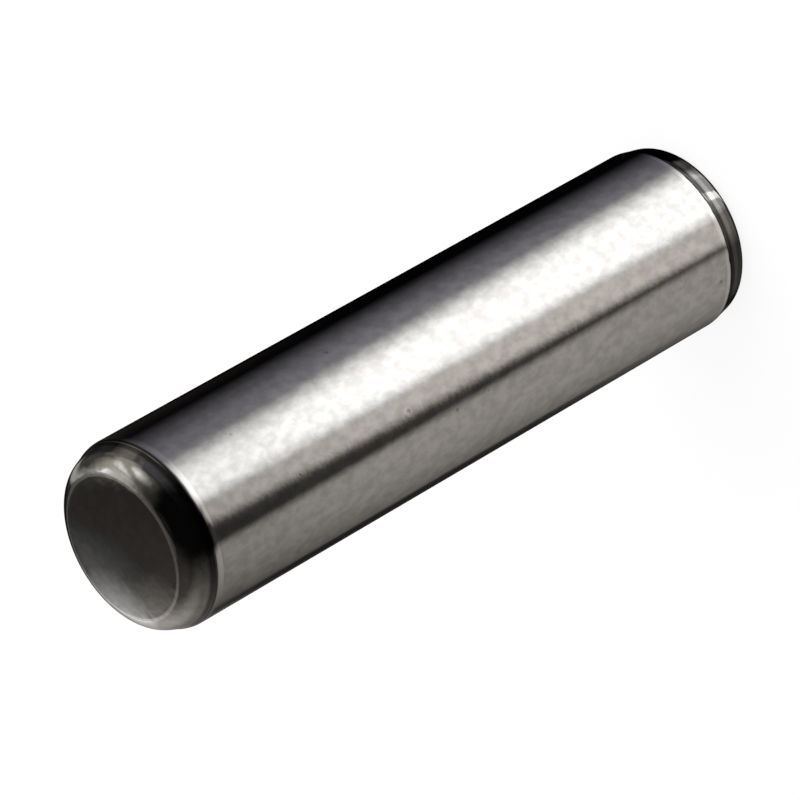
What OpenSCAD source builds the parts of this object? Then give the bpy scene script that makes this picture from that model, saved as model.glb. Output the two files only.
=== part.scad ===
// Hardened and ground dowel pin, one solid turned and ground from round bar.
// It stands on its flat end, with the crowned end up, and its axis is the Z axis.
// The origin is the middle of the flat end face. Millimetres.

/* [Ground body] */
// Diameter of the ground body
pin_d = 10; // [6:0.5:14]
// Overall length, from the flat face to the top of the crown
pin_l = 40; // [16:1:120]
// Radius of the soft edge where the ground body runs out into each lead
run_out_r = 1; // [0.2:0.1:1.5]

/* [Crowned end] */
// Radius of the shallow crown on the end face
crown_r = 20; // [13:1:60]
// How far the crown's rim lies inside the ground diameter
crown_rim_in = 1.1; // [0.9:0.05:1.4]
// Length of the lead, from the crown's rim to the ground body
crown_lead_l = 1.6; // [1.3:0.1:2.2]
// Taper of the lead, between its side and the axis
crown_lead_angle = 20; // [10:1:25]
// Radius of the corner between the crown and the lead
crown_corner_r = 1.3; // [1.1:0.05:1.6]

/* [Flat end] */
// Length of the lead, from the flat face to the ground body
flat_lead_l = 1.4; // [1:0.1:2.5]
// Taper of the lead, between its side and the axis
flat_lead_angle = 11; // [6:1:20]
// Radius of the corner between the flat face and the lead
flat_corner_r = 0.5; // [0.2:0.05:0.7]

/* [Hidden] */

$fn = 192;
STEEL = [0.62, 0.61, 0.6];

pin_r = pin_d / 2;
middle = pin_l / 2;

// Crowned end: the crown rises from the plane of its rim, and the corner's arc starts at the rim
rim_r = pin_r - crown_rim_in;
crown_h = crown_r - sqrt(crown_r * crown_r - rim_r * rim_r);
rim_z = pin_l - crown_h;

// The corner's centre lies at its own radius from the rim and from the side of the lead.
// Seen from the rim, it is CORNER_IN back from that side and CORNER_DOWN along it.
rim_inset = crown_rim_in * cos(crown_lead_angle) - crown_lead_l * sin(crown_lead_angle);
corner_in = crown_corner_r - rim_inset;
corner_down = sqrt(crown_corner_r * crown_corner_r - corner_in * corner_in);
crown_corner = [
    rim_r - corner_in * cos(crown_lead_angle) + corner_down * sin(crown_lead_angle),
    corner_in * sin(crown_lead_angle) + corner_down * cos(crown_lead_angle)
];

// Flat end: the corner is a plain fillet between the face and the side of the lead
flat_face_in = (flat_corner_r + (flat_lead_l - flat_corner_r) * sin(flat_lead_angle)) / cos(flat_lead_angle);
flat_face_r = pin_r - flat_face_in;
flat_corner = [flat_face_r, flat_corner_r];

// Half section of one end and of half the body, as [radius, depth below the plane of the face].
// The straight outline cuts across the two rounded places, and a circle fills each of them.
module end_section(face_r, corner, corner_r, lead_l, angle, depth) {
    run_out = run_out_r * tan(angle / 2);
    polygon([
        [0, 0],
        [face_r, 0],
        [corner[0] + corner_r * cos(angle), corner[1] - corner_r * sin(angle)],
        [pin_r - run_out * sin(angle), lead_l - run_out * cos(angle)],
        [pin_r, lead_l + run_out],
        [pin_r, depth],
        [0, depth]
    ]);
    intersection() {
        translate(corner) circle(r = corner_r);
        square([pin_r, depth]);
    }
    translate([pin_r - run_out_r, lead_l + run_out]) circle(r = run_out_r);
}

module flat_end_section() {
    end_section(flat_face_r, flat_corner, flat_corner_r, flat_lead_l, flat_lead_angle, middle);
}

module crowned_end_section() {
    translate([0, rim_z])
        mirror([0, 1])
            end_section(rim_r, crown_corner, crown_corner_r, crown_lead_l, crown_lead_angle, rim_z - middle);
    intersection() {
        translate([0, pin_l - crown_r]) circle(r = crown_r);
        translate([0, middle]) square([rim_r, pin_l - middle]);
    }
}

module dowel_pin() {
    color(STEEL)
        rotate_extrude() {
            flat_end_section();
            crowned_end_section();
        }
}

dowel_pin();
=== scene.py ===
"""Dresses a hardened and ground dowel pin that stands on its flat end, crowned end up.

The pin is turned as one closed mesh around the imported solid's own size, and its finish is worked out
from where each point lies on it: ground along the body, dark and unground on both ends.
"""

import logging
import math
from dataclasses import dataclass, field
from enum import Enum

import bpy
from mathutils import Matrix, Vector


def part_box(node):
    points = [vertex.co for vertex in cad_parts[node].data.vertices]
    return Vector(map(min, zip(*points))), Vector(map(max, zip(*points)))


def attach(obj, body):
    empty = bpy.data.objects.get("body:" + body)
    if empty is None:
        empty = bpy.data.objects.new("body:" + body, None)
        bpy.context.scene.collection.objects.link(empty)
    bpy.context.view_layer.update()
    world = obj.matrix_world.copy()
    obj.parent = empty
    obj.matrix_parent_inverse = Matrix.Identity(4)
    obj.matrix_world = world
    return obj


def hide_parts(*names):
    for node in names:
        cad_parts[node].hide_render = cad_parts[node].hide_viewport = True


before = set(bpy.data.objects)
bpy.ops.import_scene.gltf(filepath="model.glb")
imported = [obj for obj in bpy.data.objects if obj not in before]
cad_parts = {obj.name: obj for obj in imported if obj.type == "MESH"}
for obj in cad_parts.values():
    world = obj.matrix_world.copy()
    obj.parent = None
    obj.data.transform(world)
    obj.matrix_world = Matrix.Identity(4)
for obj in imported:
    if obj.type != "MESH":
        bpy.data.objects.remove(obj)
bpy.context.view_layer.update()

LOG = logging.getLogger("dowel_pin")
MM = 0.001
BLACK = (0.0, 0.0, 0.0, 1.0)
WHITE = (1.0, 1.0, 1.0, 1.0)
NODE = "dowel_pin"


class Mix(Enum):
    """How two colours are laid over each other."""

    BLEND = "MIX"
    DARKEN = "MULTIPLY"
    LIGHTEN = "LIGHTEN"


@dataclass(frozen=True)
class Arc:
    """A round stretch of the half section, from one slope of its surface to another.

    The slope is the angle between the surface's normal and the Z axis, in degrees.
    """

    radius: float
    centre: tuple[float, float]
    start: float
    end: float
    steps: int

    def points(self) -> list[tuple[float, float]]:
        """Works out the arc's points.

        Returns:
            The points as radius and height, from start to end.
        """
        found = []
        for k in range(self.steps + 1):
            slope = math.radians(self.start + (self.end - self.start) * k / self.steps)
            found.append((
                self.centre[0] + self.radius * math.sin(slope),
                self.centre[1] + self.radius * math.cos(slope),
            ))
        return found


@dataclass
class PinTurning:
    """The pin's half section, turned about the Z axis. All lengths are in metres.

    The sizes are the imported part's own. Only the rounding of the rim and the hair by which the ground body
    stands proud of the leads, with the edges that turn it down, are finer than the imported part.
    """

    radius: float
    length: float
    sides: int = 288
    merge_gap: float = 0.001 * MM
    run_out_r: float = 1.0 * MM
    crown_r: float = 20.0 * MM
    crown_rim_in: float = 1.1 * MM
    crown_lead_l: float = 1.6 * MM
    crown_lead_angle: float = 20.0
    crown_corner_r: float = 1.3 * MM
    flat_lead_l: float = 1.4 * MM
    flat_lead_angle: float = 11.0
    flat_corner_r: float = 0.5 * MM
    rim_round_r: float = 0.6 * MM
    step_h: float = 0.01 * MM
    crown_edge_r: float = 0.08 * MM
    flat_edge_r: float = 0.15 * MM
    crown_steps: int = 30
    rim_steps: int = 14
    corner_steps: int = 22
    soft_steps: int = 9
    edge_steps: int = 7
    foot_steps: int = 12

    @property
    def rim_r(self) -> float:
        """Radius of the crown's rim."""
        return self.radius - self.crown_rim_in

    @property
    def rim_z(self) -> float:
        """Height of the plane of the crown's rim."""
        return self.length - self.crown_r + math.sqrt(self.crown_r**2 - self.rim_r**2)

    @property
    def corner_centre(self) -> tuple[float, float]:
        """Centre of the arc that runs from the rim into the crowned end's lead.

        The arc starts on the rim and ends tangent to the lead's taper.

        Returns:
            The centre, as radius and height.
        """
        angle = math.radians(self.crown_lead_angle)
        inset = self.crown_rim_in * math.cos(angle) - self.crown_lead_l * math.sin(angle)
        inward = self.crown_corner_r - inset
        down = math.sqrt(self.crown_corner_r**2 - inward**2)
        return (
            self.rim_r - inward * math.cos(angle) + down * math.sin(angle),
            self.rim_z - inward * math.sin(angle) - down * math.cos(angle),
        )

    def crowned_end(self) -> list[tuple[float, float]]:
        """Gives the crown, the fine rounding of its rim and the corner that runs into the lead.

        The rounding's centre lies so that it is tangent to the crown and to the corner.

        Returns:
            The points from the middle of the crown to the upper end of the lead.
        """
        crown_centre = Vector((0.0, self.length - self.crown_r))
        corner_centre = Vector(self.corner_centre)
        reach = corner_centre - crown_centre
        crown_gap = self.crown_r - self.rim_round_r
        corner_gap = self.crown_corner_r - self.rim_round_r
        along = (reach.length_squared + crown_gap**2 - corner_gap**2) / (2 * reach.length)
        away = math.sqrt(crown_gap**2 - along**2)
        way = reach.normalized()
        centre = crown_centre + way * along + Vector((way.y, -way.x)) * away
        start = math.degrees(math.atan2(*(centre - crown_centre)))
        end = math.degrees(math.atan2(*(centre - corner_centre)))
        crown = Arc(self.crown_r, tuple(crown_centre), 0.0, start, self.crown_steps).points()
        rim = Arc(self.rim_round_r, tuple(centre), start, end, self.rim_steps).points()
        side = 90.0 - self.crown_lead_angle
        corner = Arc(self.crown_corner_r, tuple(corner_centre), end, side, self.corner_steps).points()
        return [*crown, *rim[1:], *corner[1:]]

    def run_out(
        self, edge_z: float, angle: float, edge_r: float, up: bool,
    ) -> list[tuple[float, float]]:
        """Gives the soft edge of the ground body, which stands a hair proud of the lead.

        Args:
            edge_z: Height at which the sharp edge would lie if the body weren't proud.
            angle: Taper of the lead, in degrees.
            edge_r: Radius with which the proud edge turns down onto the lead.
            up: Whether the lead is above the body.

        Returns:
            The points from the top down.
        """
        way = 1.0 if up else -1.0
        lean = math.radians(angle)
        reach = self.run_out_r * math.tan(lean / 2)
        height = edge_z + way * (self.step_h / math.sin(lean) - reach)
        centre = (self.radius - self.run_out_r, height)
        gap = self.run_out_r - edge_r
        edge_centre = (centre[0] + gap * math.cos(lean), centre[1] + way * gap * math.sin(lean))
        turn = math.degrees(math.acos(1.0 - self.step_h / edge_r))
        slope = 90.0 - way * angle
        soft = Arc(self.run_out_r, centre, slope, 90.0, self.soft_steps).points()
        edge = Arc(edge_r, edge_centre, slope - way * turn, slope, self.edge_steps).points()
        downward = edge[:-1] + soft
        return downward if up else downward[::-1]

    @staticmethod
    def lead(top: tuple[float, float], bottom: tuple[float, float]) -> list[tuple[float, float]]:
        """Gives the straight side of a lead, with rings close to both ends to keep them crisp.

        Args:
            top: The lead's upper end, as radius and height.
            bottom: Its lower end.

        Returns:
            The points between the two, from the top down.
        """
        shares = (0.012, 0.06, 0.3, 0.65, 0.94, 0.988)
        return [tuple(a + (b - a) * share for a, b in zip(top, bottom)) for share in shares]

    def body(self) -> list[tuple[float, float]]:
        """Gives the ground body's side, with rings close together beside each soft edge.

        Returns:
            The points from the top down.
        """
        top = self.rim_z - self.crown_lead_l
        bottom = self.flat_lead_l
        below_top = 0.2 * MM
        above_bottom = 0.15 * MM
        rings = (0.03, 0.15, 0.5, 1.2, 2.5, 5.0, 9.0, 14.0)
        down = [top - reach * MM - below_top for reach in rings]
        up = [bottom + reach * MM + above_bottom for reach in reversed(rings)]
        return [(self.radius, z) for z in down + up]

    def flat_corner(self) -> list[tuple[float, float]]:
        """Gives the corner between the flat end's lead and its face.

        Returns:
            The points from the lead's lower end to the face.
        """
        angle = math.radians(self.flat_lead_angle)
        straight = self.flat_lead_l - self.flat_corner_r
        inward = (self.flat_corner_r + straight * math.sin(angle)) / math.cos(angle)
        centre = (self.radius - inward, self.flat_corner_r)
        side = 90.0 + self.flat_lead_angle
        return Arc(self.flat_corner_r, centre, side, 180.0, self.foot_steps).points()

    def section(self) -> list[tuple[float, float]]:
        """Puts the half section together.

        Returns:
            The points from the top of the crown to the middle of the flat face.
        """
        crowned = self.crowned_end()
        high = self.rim_z - self.crown_lead_l
        upper = self.run_out(high, self.crown_lead_angle, self.crown_edge_r, up=True)
        lower = self.run_out(self.flat_lead_l, self.flat_lead_angle, self.flat_edge_r, up=False)
        end = self.flat_corner()
        ring_gap = 0.8
        end_face = [(ring * ring_gap * MM, 0.0) for ring in (5, 4, 3, 2, 1, 0)]
        return [
            *crowned,
            *self.lead(crowned[-1], upper[0]),
            *upper,
            *self.body(),
            *lower,
            *self.lead(lower[-1], end[0]),
            *end,
            *end_face,
        ]

    def build(self) -> bpy.types.Object:
        """Turns the half section into one closed mesh.

        Returns:
            The pin's object, at the origin.
        """
        points = [Vector((r, 0.0, z)) for r, z in self.section()]
        bpy.ops.object.select_all(action="DESELECT")
        bpy.ops.mesh.primitive_plane_add(size=MM, location=points[0])
        pin = bpy.context.object
        pin.name = pin.data.name = "ground_pin"
        bpy.ops.object.transform_apply(location=True, rotation=False, scale=False)
        bpy.ops.object.mode_set(mode="EDIT")
        bpy.ops.mesh.select_mode(type="VERT")
        bpy.ops.mesh.select_all(action="SELECT")
        bpy.ops.mesh.merge(type="CENTER")
        for before, after in zip(points, points[1:]):
            bpy.ops.mesh.extrude_vertices_move(TRANSFORM_OT_translate={"value": after - before})
        bpy.ops.mesh.select_all(action="SELECT")
        bpy.ops.mesh.spin(steps=self.sides, angle=math.tau, center=(0, 0, 0), axis=(0, 0, 1))
        bpy.ops.mesh.select_all(action="SELECT")
        bpy.ops.mesh.remove_doubles(threshold=self.merge_gap)
        bpy.ops.mesh.normals_make_consistent(inside=False)
        bpy.ops.object.mode_set(mode="OBJECT")
        bpy.ops.object.shade_smooth()
        return pin


FLOAT = "NodeSocketFloat"
VECTOR = "NodeSocketVector"

# The Mix node repeats its input names for each type of data, so its sockets go by number.
MIX_FACTOR = 0
MIX_NUMBERS = (2, 3)
MIX_COLOURS = (6, 7)
MIX_RESULT_NUMBER = 0
MIX_RESULT_COLOUR = 2


class NodeBench:
    """Makes and links nodes in one tree, in a few words each."""

    def __init__(self, tree: bpy.types.NodeTree) -> None:
        """Takes the tree that the nodes go into."""
        self.tree = tree
        self.tree.nodes.clear()

    def add(
        self, kind: str, inputs: dict[str | int, object] | None = None, **settings: object,
    ) -> bpy.types.Node:
        """Adds a node.

        Args:
            kind: The node's type name.
            inputs: Values or sockets for its inputs, by name or number.
            settings: The node's own settings.

        Returns:
            The new node.
        """
        node = self.tree.nodes.new(kind)
        for name, value in settings.items():
            setattr(node, name, value)
        for key, value in (inputs or {}).items():
            if isinstance(value, bpy.types.NodeSocket):
                self.tree.links.new(value, node.inputs[key])
            else:
                node.inputs[key].default_value = value
        return node

    def math(self, operation: str, *values: object) -> bpy.types.NodeSocket:
        """Adds a Math node on the values and gives its result."""
        return self.add("ShaderNodeMath", dict(enumerate(values)), operation=operation).outputs[0]

    def step(self, value: object, low: object, high: object) -> bpy.types.NodeSocket:
        """Gives a soft step of a value.

        Args:
            value: What is tested.
            low: Where the step is 0.
            high: Where the step is 1. It may be less than low.

        Returns:
            The step, from 0 to 1.
        """
        node = self.add(
            "ShaderNodeMapRange",
            {"Value": value, "From Min": low, "From Max": high},
            interpolation_type="SMOOTHSTEP",
        )
        return node.outputs["Result"]

    def side(self, value: object, edge: object, soft: object, sign: float) -> bpy.types.NodeSocket:
        """Gives 1 on the far side of an edge where sign is 0.5, on the near side where it is -0.5."""
        reach = self.math("MULTIPLY", soft, sign)
        return self.step(value, self.math("SUBTRACT", edge, reach), self.math("ADD", edge, reach))

    def scale(self, value: object, low: float, high: float) -> bpy.types.NodeSocket:
        """Maps a value of 0 to 1 onto low to high."""
        node = self.add("ShaderNodeMapRange", {"Value": value, "To Min": low, "To Max": high})
        return node.outputs["Result"]

    def tint(
        self, share: object, first: object, second: object, how: Mix = Mix.BLEND,
    ) -> bpy.types.NodeSocket:
        """Lays the second colour over the first.

        Args:
            share: How much of the second colour shows, from 0 to 1.
            first: The colour beneath.
            second: The colour on top.
            how: How the two are laid over each other.

        Returns:
            The mixed colour.
        """
        values = dict(zip((MIX_FACTOR, *MIX_COLOURS), (share, first, second)))
        node = self.add("ShaderNodeMix", values, data_type="RGBA", blend_type=how.value)
        return node.outputs[MIX_RESULT_COLOUR]

    def noise(
        self, vector: object, size: float, detail: float = 2.0, roughness: float = 0.5,
    ) -> bpy.types.NodeSocket:
        """Gives cloudy noise.

        Args:
            vector: The place at which it is read.
            size: About how large its patches are, in metres.
            detail: How many finer layers it has.
            roughness: How strong the finer layers are.

        Returns:
            The noise, from 0 to 1.
        """
        node = self.add(
            "ShaderNodeTexNoise",
            {"Vector": vector, "Scale": 1.0 / size, "Detail": detail, "Roughness": roughness},
            noise_dimensions="3D",
        )
        return node.outputs["Fac"]

    def stretch(self, vector: object, factors: tuple[float, float, float]) -> bpy.types.NodeSocket:
        """Scales a vector along each axis."""
        return self.add("ShaderNodeMapping", {"Vector": vector, "Scale": factors}).outputs["Vector"]


def new_group(
    name: str, inputs: dict[str, tuple[str, object]], outputs: dict[str, str],
) -> tuple[bpy.types.NodeTree, NodeBench, bpy.types.Node]:
    """Makes an empty shader node group with named sockets.

    Args:
        name: The group's name.
        inputs: Each input's socket type and usual value.
        outputs: Each output's socket type.

    Returns:
        The group, a bench on it and its input node.
    """
    tree = bpy.data.node_groups.new(name, "ShaderNodeTree")
    for label, (kind, value) in inputs.items():
        socket = tree.interface.new_socket(label, in_out="INPUT", socket_type=kind)
        socket.default_value = value
    for label, kind in outputs.items():
        tree.interface.new_socket(label, in_out="OUTPUT", socket_type=kind)
    bench = NodeBench(tree)
    return tree, bench, bench.add("NodeGroupInput")


@dataclass(frozen=True)
class ZoneEdges:
    """Where each zone of the finish begins and where it is full, as pairs of distances in millimetres.

    The pairs named low and high are heights above the lower and the upper edge of the ground body, and the
    upper one is first moved up by high_shift. Two of these pairs bound a painted highlight along the
    ground body's edges, and two a painted shade on the leads just beside them. top_plane is a height above
    the plane of the crown's rim, and crown_radius a distance outside that rim. The rim line, a little
    rougher than the ends and made lighter by a painted highlight in its colour, lies line_inside the rim
    and fades over line_width from its middle. near_top_share is two shares of the pin's length.
    """

    high_shift: float = 0.07
    ground_low: tuple[float, float] = (0.02, 0.08)
    ground_high: tuple[float, float] = (0.03, -0.03)
    # Painted highlight: these bound lighter bands along both edges of the ground body.
    edge_highlight_low: tuple[float, float] = (0.34, 0.22)
    edge_highlight_high: tuple[float, float] = (-0.4, -0.28)
    # Painted shade: these bound a dark band on the leads just beside the ground body.
    step_shade_low: tuple[float, float] = (-0.4, -0.3)
    step_shade_high: tuple[float, float] = (0.5, 0.3)
    foot_low: tuple[float, float] = (-0.62, -0.74)
    top_plane: tuple[float, float] = (-0.15, -0.1)
    crown_radius: tuple[float, float] = (-0.1, -0.8)
    line_inside: float = 0.08
    line_width: tuple[float, float] = (0.12, 0.05)
    near_top_share: tuple[float, float] = (0.6, 0.93)

    def build(self, pin: PinTurning) -> bpy.types.NodeTree:
        """Makes the group that tells the body from the ends, from a point's place on the pin.

        Args:
            pin: The turned pin, whose sizes bound the zones.

        Returns:
            A group that gives the masks of the ground body and of the painted highlight along its edges, of
            the painted shade on the leads just beside the body, of the flat end's darker corner, of the
            crown and of its rim, and how near the crowned end is.
        """
        names = ("Ground", "Edge highlight", "Scale", "Foot", "Rim", "Crown", "Near top")
        outputs = {name: FLOAT for name in names}
        tree, bench, given = new_group("pin_zones", {"Place": (VECTOR, (0, 0, 0))}, outputs)
        x, y, z = bench.add("ShaderNodeSeparateXYZ", {0: given.outputs["Place"]}).outputs
        squares = bench.math("ADD", bench.math("MULTIPLY", x, x), bench.math("MULTIPLY", y, y))
        radius = bench.math("SQRT", squares)

        def edge(value: object, origin: float, pair: tuple[float, float]) -> bpy.types.NodeSocket:
            """Gives a soft step, 0 at the pair's first distance from the origin and 1 at its second."""
            return bench.step(value, origin + pair[0] * MM, origin + pair[1] * MM)

        low = pin.flat_lead_l
        high = pin.rim_z - pin.crown_lead_l + self.high_shift * MM
        ground = bench.math("MULTIPLY", edge(z, low, self.ground_low), edge(z, high, self.ground_high))
        # Painted highlight: lighter bands along both edges of the ground body.
        highlight_bands = bench.math("MAXIMUM", edge(z, low, self.edge_highlight_low), edge(z, high, self.edge_highlight_high))
        top = edge(z, pin.rim_z, self.top_plane)
        line_r = pin.rim_r - self.line_inside * MM
        off_line = bench.math("ABSOLUTE", bench.math("SUBTRACT", radius, line_r))
        masks = {
            "Ground": ground,
            "Edge highlight": bench.math("MULTIPLY", ground, highlight_bands),
            # Painted shade: the Scale mask is a dark band on the leads beside the ground body, in the step.
            "Scale": bench.math("MULTIPLY", edge(z, high, self.step_shade_high), edge(z, low, self.step_shade_low)),
            "Foot": edge(z, low, self.foot_low),
            "Rim": bench.math("MULTIPLY", top, edge(off_line, 0.0, self.line_width)),
            "Crown": bench.math("MULTIPLY", top, edge(radius, pin.rim_r, self.crown_radius)),
            "Near top": bench.step(z, *(share * pin.length for share in self.near_top_share)),
        }
        bench.add("NodeGroupOutput", masks)
        return tree


@dataclass(frozen=True)
class Grain:
    """The marks, mottling, waves and pits of the steel. Sizes are in metres."""

    mark_size: float = 0.035 * MM
    mark_stretch: tuple[float, float, float] = (0.05, 0.05, 1.0)
    mark_share: float = 0.65
    band_size: float = 0.3 * MM
    band_stretch: tuple[float, float, float] = (0.08, 0.08, 1.0)
    band_share: float = 0.35
    mottle_size: float = 0.5 * MM
    mottle_stretch: tuple[float, float, float] = (1.0, 1.0, 0.75)
    wave_size: float = 0.55 * MM
    pit_spacing: float = 1.1 * MM
    pit_chosen: tuple[float, float] = (0.93, 0.94)
    pit_edge: tuple[float, float] = (0.13, 0.07)

    def build(self) -> bpy.types.NodeTree:
        """Makes the group for marks that run round the pin, as grinding and turning leave.

        Returns:
            A group that gives the marks' height, 0 to 1, soft patches of mottling, the waves of the
            unground ends and a few small pits.
        """
        outputs = {name: FLOAT for name in ("Marks", "Mottle", "Waves", "Pits")}
        tree, bench, given = new_group("marks_round_the_pin", {"Place": (VECTOR, (0, 0, 0))}, outputs)
        place = given.outputs["Place"]
        fine = bench.noise(
            bench.stretch(place, self.mark_stretch), self.mark_size, detail=3.0, roughness=0.6,
        )
        broad = bench.noise(bench.stretch(place, self.band_stretch), self.band_size)
        mottle = bench.noise(bench.stretch(place, self.mottle_stretch), self.mottle_size, detail=2.5)
        fine = bench.math("MULTIPLY", fine, self.mark_share)
        broad = bench.math("MULTIPLY", broad, self.band_share)
        cells = {"Vector": place, "Scale": 1.0 / self.pit_spacing}
        spots = bench.add("ShaderNodeTexVoronoi", cells).outputs
        chance = bench.add("ShaderNodeSeparateColor", {0: spots["Color"]}).outputs[0]
        chosen = bench.step(chance, *self.pit_chosen)
        bench.add("NodeGroupOutput", {
            "Marks": bench.math("ADD", fine, broad),
            "Mottle": mottle,
            "Waves": bench.noise(place, self.wave_size, detail=1.0, roughness=0.4),
            "Pits": bench.math("MULTIPLY", chosen, bench.step(spots["Distance"], *self.pit_edge)),
        })
        return tree


@dataclass(frozen=True)
class PinFinish:
    """Ground steel on the body, and darker, unground steel on both ends."""

    ground_colour: tuple[float, float, float, float] = (0.68, 0.67, 0.66, 1.0)
    ground_shade: tuple[float, float, float, float] = (0.54, 0.53, 0.52, 1.0)
    end_colour: tuple[float, float, float, float] = (0.54, 0.53, 0.515, 1.0)
    end_shade: tuple[float, float, float, float] = (0.46, 0.45, 0.435, 1.0)
    # Painted shade: the ground body is made darker towards the crowned end.
    near_top_painted_shade: tuple[float, float, float, float] = (0.8, 0.8, 0.8, 1.0)
    # Painted highlight: the rim line's lighter colour.
    rim_painted_highlight_colour: tuple[float, float, float, float] = (0.9, 0.86, 0.8, 1.0)
    foot_colour: tuple[float, float, float, float] = (0.3, 0.29, 0.28, 1.0)
    # Painted highlight along both edges of the ground body.
    edge_painted_highlight_colour: tuple[float, float, float, float] = (0.78, 0.77, 0.76, 1.0)
    # The dark colour of the pits, and the painted shade on the leads beside the ground body.
    pit_and_painted_shade_colour: tuple[float, float, float, float] = (0.17, 0.165, 0.16, 1.0)
    worn_from: float = 0.3
    worn_to: float = 0.7
    pit_tint: float = 0.45
    ground_rough: tuple[float, float] = (0.05, 0.12)
    end_rough: float = 0.06
    rim_rough: float = 0.22
    mark_height: float = 0.25
    mottle_height: float = 0.75
    pit_depth: float = 0.3
    wave_height: float = 3.0
    crown_wave_share: float = 0.35
    bump_strength: float = 0.35
    bump_height: float = 0.01 * MM
    zones: ZoneEdges = field(default_factory=ZoneEdges)
    grain: Grain = field(default_factory=Grain)

    def colour(self, bench: NodeBench, zone: object, mark: object) -> bpy.types.NodeSocket:
        """Lays the colours of the body and of the ends over each other.

        Args:
            bench: The bench on the material's tree.
            zone: The outputs of the zones' group.
            mark: The outputs of the grain's group.

        Returns:
            The base colour.
        """
        worn = bench.step(mark["Mottle"], self.worn_from, self.worn_to)
        body = bench.tint(worn, self.ground_shade, self.ground_colour)
        body = bench.tint(bench.math("MULTIPLY", mark["Pits"], self.pit_tint), body, self.pit_and_painted_shade_colour)
        # Painted highlight: lighter bands along both edges of the ground body.
        body = bench.tint(zone["Edge highlight"], body, self.edge_painted_highlight_colour)
        # Painted shade: the ground body grows darker towards the crowned end.
        painted_shade_body = bench.tint(1.0, body, self.near_top_painted_shade, Mix.DARKEN)
        body = bench.tint(zone["Near top"], body, painted_shade_body)
        ends = bench.tint(worn, self.end_shade, self.end_colour)
        # Painted shade: a dark band on the leads just beside the ground body.
        ends = bench.tint(zone["Scale"], ends, self.pit_and_painted_shade_colour)
        ends = bench.tint(zone["Foot"], ends, self.foot_colour)
        # Painted highlight: the rim line is given a lighter colour.
        ends = bench.tint(zone["Rim"], ends, self.rim_painted_highlight_colour)
        return bench.tint(zone["Ground"], ends, body)

    def roughness(self, bench: NodeBench, zone: object, mark: object) -> bpy.types.NodeSocket:
        """Gives the roughness: by the marks on the body, a little more on the rim than on the ends.

        Args:
            bench: The bench on the material's tree.
            zone: The outputs of the zones' group.
            mark: The outputs of the grain's group.

        Returns:
            The roughness.
        """
        ends = bench.scale(zone["Rim"], self.end_rough, self.rim_rough)
        body = bench.scale(mark["Marks"], *self.ground_rough)
        values = dict(zip((MIX_FACTOR, *MIX_NUMBERS), (zone["Ground"], ends, body)))
        return bench.add("ShaderNodeMix", values).outputs[MIX_RESULT_NUMBER]

    def height(self, bench: NodeBench, zone: object, mark: object) -> bpy.types.NodeSocket:
        """Gives the height of the surface: marks, mottling and pits all over, and waves on the ends.

        Args:
            bench: The bench on the material's tree.
            zone: The outputs of the zones' group.
            mark: The outputs of the grain's group.

        Returns:
            The height, to be scaled by the bump.
        """
        soft = bench.math("MULTIPLY", mark["Mottle"], self.mottle_height)
        fine = bench.math("MULTIPLY_ADD", mark["Marks"], self.mark_height, soft)
        fine = bench.math("SUBTRACT", fine, bench.math("MULTIPLY", mark["Pits"], self.pit_depth))
        waves = bench.math("SUBTRACT", mark["Waves"], 0.5)
        waves = bench.math("MULTIPLY", waves, bench.scale(zone["Ground"], self.wave_height, 0.0))
        waves = bench.math("MULTIPLY", waves, bench.scale(zone["Crown"], 1.0, self.crown_wave_share))
        return bench.math("ADD", fine, waves)

    def material(self, pin: PinTurning) -> bpy.types.Material:
        """Makes the pin's material.

        Args:
            pin: The turned pin that it dresses.

        Returns:
            The material, which reads only the object's own coordinates.
        """
        steel = bpy.data.materials.new("ground_and_hardened_steel")
        steel.use_nodes = True
        bench = NodeBench(steel.node_tree)
        place = bench.add("ShaderNodeTexCoord").outputs["Object"]
        zone = bench.add("ShaderNodeGroup", node_tree=self.zones.build(pin))
        mark = bench.add("ShaderNodeGroup", node_tree=self.grain.build())
        for group in (zone, mark):
            steel.node_tree.links.new(place, group.inputs["Place"])
        bump = bench.add("ShaderNodeBump", {
            "Strength": self.bump_strength,
            "Distance": self.bump_height,
            "Height": self.height(bench, zone.outputs, mark.outputs),
        })
        shader = bench.add("ShaderNodeBsdfPrincipled", {
            "Base Color": self.colour(bench, zone.outputs, mark.outputs),
            "Metallic": 1.0,
            "Roughness": self.roughness(bench, zone.outputs, mark.outputs),
            "Normal": bump.outputs["Normal"],
        })
        bench.add("ShaderNodeOutputMaterial", {"Surface": shader.outputs["BSDF"]})
        return steel


@dataclass
class DowelPin:
    """The pin as one piece: its mesh, its finish and what it stands for."""

    turning: PinTurning
    finish: PinFinish = field(default_factory=PinFinish)

    def make(self) -> bpy.types.Object:
        """Builds the mesh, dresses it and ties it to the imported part.

        Returns:
            The finished pin.
        """
        pin = self.turning.build()
        pin.data.materials.append(self.finish.material(self.turning))
        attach(pin, "root")
        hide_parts(NODE)
        LOG.info("%s: %d faces", pin.name, len(pin.data.polygons))
        return pin


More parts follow.
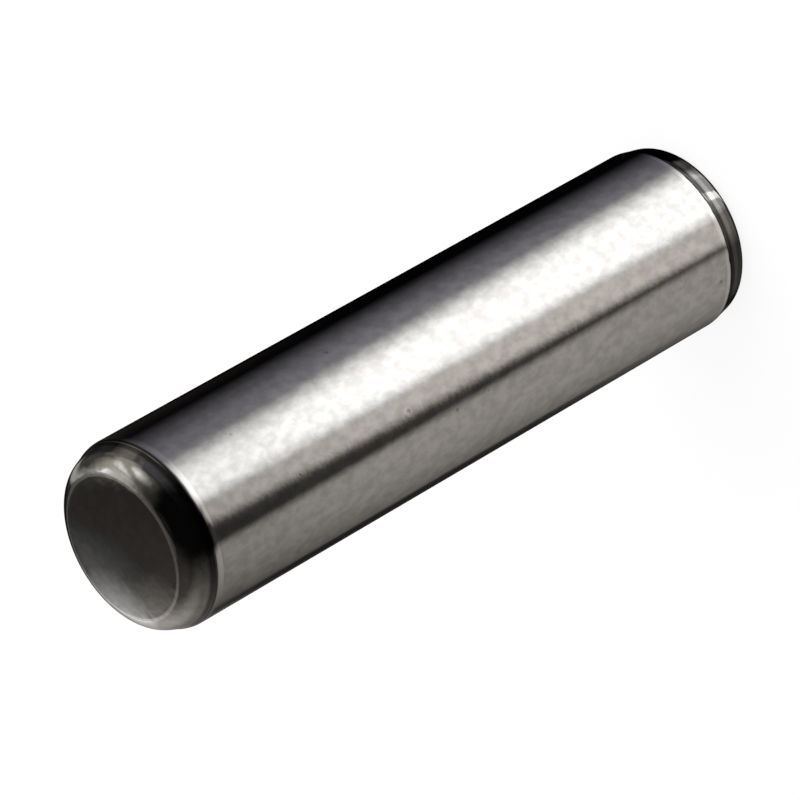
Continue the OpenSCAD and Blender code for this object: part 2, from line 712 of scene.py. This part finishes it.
@dataclass(frozen=True)
class Card:
    """A patch of the studio that steel reflects, by the direction in which it lies.

    Azimuth 0 is the camera's side, -Y, and 90 is -X. Angles are in degrees. The soft edges are the widths
    over which each side fades, and the leans are how far a side moves for each degree of elevation, near
    the height that the pin's own side reflects. A flag is black, and holds back the light of the cards.
    """

    name: str
    left: float
    right: float
    low: float
    high: float
    strength: float
    soft_left: float = 12.0
    soft_right: float = 12.0
    soft_low: float = 8.0
    soft_high: float = 24.0
    lean_left: float = 0.0
    lean_right: float = 0.0
    tint: tuple[float, float, float] = (1.0, 1.0, 1.0)
    flag: bool = False

    def settings(self) -> dict[str, float]:
        """Gives the card's shape as the card mask takes it.

        Returns:
            The values of the mask's inputs, by name.
        """
        centre = (self.left + self.right) / 2
        return {
            "Centre": centre, "Left": self.left - centre, "Right": self.right - centre,
            "Low": self.low, "High": self.high,
            "Soft left": self.soft_left, "Soft right": self.soft_right,
            "Soft low": self.soft_low, "Soft high": self.soft_high,
            "Lean left": self.lean_left, "Lean right": self.lean_right,
        }


# A leaning side leans about this elevation, and no further than this many degrees above and below it.
TILT_FROM = -37.0
TILT_REACH = 4.0

NEUTRAL = (1.0, 0.995, 0.985)
WARM = (1.0, 0.948, 0.88)
YELLOW = (1.0, 0.985, 0.83)
CREAM = (1.0, 0.985, 0.92)
ROSE = (1.0, 0.93, 0.87)
BROWN = (1.0, 0.87, 0.83)
VIOLET = (0.98, 0.95, 1.06)

# What the ground body reflects lies from BODY_LOW up, and what the far end's corner reflects between
# UNDER_LOW and UNDER_HIGH.
BODY_LOW = -42.5
UNDER_LOW = -68.0
UNDER_HIGH = -47.0

# Each card's numbers are its left, right, low and high side, its strength, how soft those four sides are
# and, on some, how its left and its right side lean.
CARDS = (
    Card("main", -55, 5, BODY_LOW, -12, 1.75, 50, 30, 4, 35, 2, -1.5, tint=NEUTRAL),
    Card("side", -10, 32, BODY_LOW, -24, 0.75, 10, 15, 4, 35, 0, -3, tint=WARM),
    Card("fill", 50, 130, BODY_LOW, -10, 0.4, 15, 130, 4, 35, 0.5, -4, tint=WARM),
    Card("gap", 20, 60, BODY_LOW, -20, 0.045, 10, 10, 4, 16, tint=WARM),
    Card("violet", -90, -35, BODY_LOW, -8, 0.33, 80, 35, 4, 60, tint=VIOLET),
    Card("ramp", 80, 185, -35, 65, 0.08, 80, 160, 5, 40, tint=BROWN),
    Card("backdrop", 158, 172, -15, 23, 1.75, 25, 25, 70, 30),
    Card("backdrop_top", 175, 180, 0, 20, 0.7, 60, 25, 8, 80),
    Card("lamp_front", -80, -62, 15, 42, 1.5, 12, 40, 30, 32, tint=CREAM),
    Card("lamp_side", -108, -90, 12, 50, 1.3, 22, 20, 35, 30, tint=CREAM),
    Card("lamp_rear", -155, -100, 25, 60, 0.8, 30, 30, 50, 20, tint=CREAM),
    Card("lamp_glint", -148, -122, 36, 46, 1.5, 8, 20, 8, 16),
    Card("glow", -140, -80, 10, 42, 1.05, 75, 110, 22, 82, tint=YELLOW),
    Card("rear_left", -170, -115, -5, 20, 0.15, 25, 40, 50, 50),
    Card("rear_rim", -160, -150, -18, 27, 0.5, 6, 10, 12, 8, tint=CREAM),
    Card("rear_low", 148, 166, 14, 34, 0.42, 16, 8, 20, 10),
    Card("fill_high", 120, 170, -5, 25, 1.2, 160, 20, 90, 60, tint=WARM),
    Card("ceiling", -150, -110, 26, 70, 0.4, 16, 145, 12, 25, tint=ROSE),
    Card("rose", -106, -70, 0, 50, 0.5, 10, 20, 16, 26, tint=ROSE),
    Card("arch", -116, -80, -10, 12, 0.24, 40, 13, 10, 12, tint=ROSE),
    Card("zenith", -180, 180, 84, 120, 0.02, 8, 8, 16, 8, tint=WARM),
    Card("zenith_rear", 130, 230, 63, 77, 0.085, 55, 40, 9, 12, tint=WARM),
    Card("under_all", -180, 180, -120, -74, 0.1, 8, 8, 8, 10, tint=WARM),
    Card("under_main", -72, 6, UNDER_LOW, UNDER_HIGH, 0.8, 30, 16, 6, 6),
    Card("under_rear", -98, -80, UNDER_LOW, UNDER_HIGH, 0.13, 8, 14, 6, 6),
    Card("under_spark", -28, -16, -88, UNDER_HIGH, 2.6, 7, 7, 6, 6),
    Card("under_glint", -66, -55, UNDER_LOW, UNDER_HIGH, 1.1, 8, 8, 6, 6),
    Card("under_side", -5, 54, UNDER_LOW, UNDER_HIGH, 0.32, 10, 50, 6, 6, tint=WARM),
    Card("under_edge", 0, 150, UNDER_LOW, UNDER_HIGH, 0.08, 20, 60, 6, 6, tint=WARM),
    Card("pocket", -145, -110, 4, 25, 0.8, 8, 56, 18, 20, flag=True),
    Card("rear_dark", -180, -161, -30, 13, 0.75, 8, 6, 10, 6, flag=True),
    Card("rear_dim", 159, 176, -32, 12, 0.3, 10, 8, 8, 8, flag=True),
    Card("rear_edge", 141, 205, -38.9, -34.2, 0.8, 8, 8, 2.4, 1.6, flag=True),
)


@dataclass
class Studio:
    """The floor, the soft light, the cards that the steel reflects, and the camera."""

    cards: tuple[Card, ...] = CARDS
    room_light: tuple[float, float, float, float] = (0.001, 0.001, 0.001, 1.0)
    floor_size: float = 6.0
    floor_colour: tuple[float, float, float, float] = (0.9, 0.9, 0.9, 1.0)
    floor_glow: float = 0.86
    lamp_place: Vector = field(default_factory=lambda: Vector((0.16, -0.05, 0.32)))
    lamp_size: float = 0.25
    lamp_watts: float = 0.6
    eye: Vector = field(default_factory=lambda: Vector((0.0, -0.2327, 0.19461)))
    yaw: float = -0.113
    pitch: float = 36.742
    roll: float = -119.749
    lens: float = 263.34

    def camera(self) -> bpy.types.Object:
        """Places the camera at the photograph's viewing angle and rolls it as the photograph is.

        Returns:
            The scene's camera.
        """
        data = bpy.data.cameras.new("photo_camera")
        data.lens = self.lens
        data.sensor_width = 36.0
        data.clip_start = 0.01
        data.clip_end = 50.0
        camera = bpy.data.objects.new("photo_camera", data)
        bpy.context.scene.collection.objects.link(camera)
        yaw, pitch, roll = (math.radians(a) for a in (self.yaw, self.pitch, self.roll))
        ahead = Vector((math.sin(yaw) * math.cos(pitch), math.cos(yaw) * math.cos(pitch), -math.sin(pitch)))
        level = ahead.cross(Vector((0, 0, 1))).normalized()
        up = level.cross(ahead) * math.cos(roll) - level * math.sin(roll)
        right = ahead.cross(up)
        turn = Matrix((right, up, -ahead)).transposed().to_4x4()
        camera.matrix_world = Matrix.Translation(self.eye) @ turn
        bpy.context.scene.camera = camera
        return camera

    def card_mask(self) -> bpy.types.NodeTree:
        """Makes the group that tells how much of a card lies in a direction.

        Returns:
            A group that gives 1 inside the card and fades to 0 past its sides.
        """
        tree, bench, given = new_group("card_mask", {
            "Azimuth": (FLOAT, 0.0), "Elevation": (FLOAT, 0.0), "Centre": (FLOAT, 0.0),
            "Left": (FLOAT, -10.0), "Right": (FLOAT, 10.0), "Low": (FLOAT, 0.0), "High": (FLOAT, 10.0),
            "Soft left": (FLOAT, 5.0), "Soft right": (FLOAT, 5.0),
            "Soft low": (FLOAT, 5.0), "Soft high": (FLOAT, 5.0),
            "Lean left": (FLOAT, 0.0), "Lean right": (FLOAT, 0.0),
        }, {"Mask": FLOAT})
        g = given.outputs
        away = bench.math("SUBTRACT", g["Azimuth"], g["Centre"])
        across = bench.math("WRAP", away, 180.0, -180.0)
        rise = bench.math("SUBTRACT", g["Elevation"], TILT_FROM)
        limits = {"Value": rise, "Min": -TILT_REACH, "Max": TILT_REACH}
        rise = bench.add("ShaderNodeClamp", limits).outputs[0]
        left = bench.math("MULTIPLY_ADD", g["Lean left"], rise, g["Left"])
        right = bench.math("MULTIPLY_ADD", g["Lean right"], rise, g["Right"])
        mask = bench.side(across, left, g["Soft left"], 0.5)
        for value, edge, soft, sign in (
            (across, right, g["Soft right"], -0.5),
            (g["Elevation"], g["Low"], g["Soft low"], 0.5),
            (g["Elevation"], g["High"], g["Soft high"], -0.5),
        ):
            mask = bench.math("MULTIPLY", mask, bench.side(value, edge, soft, sign))
        bench.add("NodeGroupOutput", {"Mask": mask})
        return tree

    def world(self) -> None:
        """Makes a white world that steel sees as cards in a dark room."""
        world = bpy.data.worlds.new("studio")
        world.use_nodes = True
        bpy.context.scene.world = world
        bench = NodeBench(world.node_tree)
        way = bench.add("ShaderNodeTexCoord").outputs["Generated"]
        x, y, z = bench.add("ShaderNodeSeparateXYZ", {0: way}).outputs
        azimuth = bench.math("DEGREES", bench.math(
            "ARCTAN2", bench.math("MULTIPLY", x, -1.0), bench.math("MULTIPLY", y, -1.0),
        ))
        elevation = bench.math("DEGREES", bench.math("ARCSINE", z))
        group = self.card_mask()
        light = self.room_light
        for card in self.cards:
            mask = bench.add("ShaderNodeGroup", node_tree=group, label=card.name)
            world.node_tree.links.new(azimuth, mask.inputs["Azimuth"])
            world.node_tree.links.new(elevation, mask.inputs["Elevation"])
            for label, value in card.settings().items():
                mask.inputs[label].default_value = value
            if card.flag:
                share = bench.math("MULTIPLY", mask.outputs["Mask"], card.strength)
                light = bench.tint(share, light, BLACK)
                continue
            lit = tuple(card.strength * c for c in card.tint) + (1.0,)
            shade = bench.tint(mask.outputs["Mask"], BLACK, lit)
            light = bench.tint(1.0, light, shade, Mix.LIGHTEN)
        room = bench.add("ShaderNodeBackground", {"Color": light, "Strength": 1.0})
        white = bench.add("ShaderNodeBackground", {"Color": WHITE, "Strength": 1.0})
        rays = bench.add("ShaderNodeLightPath")
        shader = bench.add("ShaderNodeMixShader", {
            0: rays.outputs["Is Glossy Ray"], 1: white.outputs[0], 2: room.outputs[0],
        })
        bench.add("ShaderNodeOutputWorld", {"Surface": shader.outputs[0]})

    def floor(self) -> bpy.types.Object:
        """Lays the pale floor under the pin. Steel looks past it, at the cards.

        Returns:
            The floor, which isn't part of the object.
        """
        bpy.ops.object.select_all(action="DESELECT")
        bpy.ops.mesh.primitive_plane_add(size=self.floor_size, location=(0, 0, 0))
        floor = bpy.context.object
        floor.name = "floor"
        floor.visible_glossy = False
        paint = bpy.data.materials.new("pale_floor")
        paint.use_nodes = True
        bench = NodeBench(paint.node_tree)
        matt = bench.add("ShaderNodeBsdfDiffuse", {"Color": self.floor_colour})
        glow = bench.add("ShaderNodeEmission", {"Color": WHITE, "Strength": 1.0})
        rays = bench.add("ShaderNodeLightPath").outputs
        seen = bench.math("MAXIMUM", rays["Is Camera Ray"], bench.math(
            "MAXIMUM", rays["Is Glossy Ray"], rays["Is Transmission Ray"],
        ))
        mixed = bench.add("ShaderNodeMixShader", {
            0: bench.math("MULTIPLY", seen, self.floor_glow), 1: matt.outputs[0], 2: glow.outputs[0],
        })
        bench.add("ShaderNodeOutputMaterial", {"Surface": mixed.outputs[0]})
        floor.data.materials.append(paint)
        return floor

    def lamp(self) -> bpy.types.Object:
        """Hangs one soft lamp over the pin, for its shadow on the floor.

        Returns:
            The lamp.
        """
        data = bpy.data.lights.new("soft_lamp", "AREA")
        data.shape = "DISK"
        data.size = self.lamp_size
        data.energy = self.lamp_watts
        lamp = bpy.data.objects.new("soft_lamp", data)
        bpy.context.scene.collection.objects.link(lamp)
        lamp.location = self.lamp_place
        lamp.rotation_euler = (-lamp.location).to_track_quat("-Z", "Y").to_euler()
        lamp.visible_glossy = False
        return lamp

    def make(self) -> None:
        """Sets up the whole studio."""
        bpy.context.scene.view_settings.view_transform = "Standard"
        self.camera()
        self.world()
        self.floor()
        self.lamp()


def main() -> None:
    """Builds the studio and the pin."""
    logging.basicConfig(level=logging.INFO, format="%(name)s %(message)s")
    Studio().make()
    low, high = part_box(NODE)
    pin = DowelPin(PinTurning(radius=high[0], length=high[2]))
    pin.make()


if __name__ == "__main__":
    main()
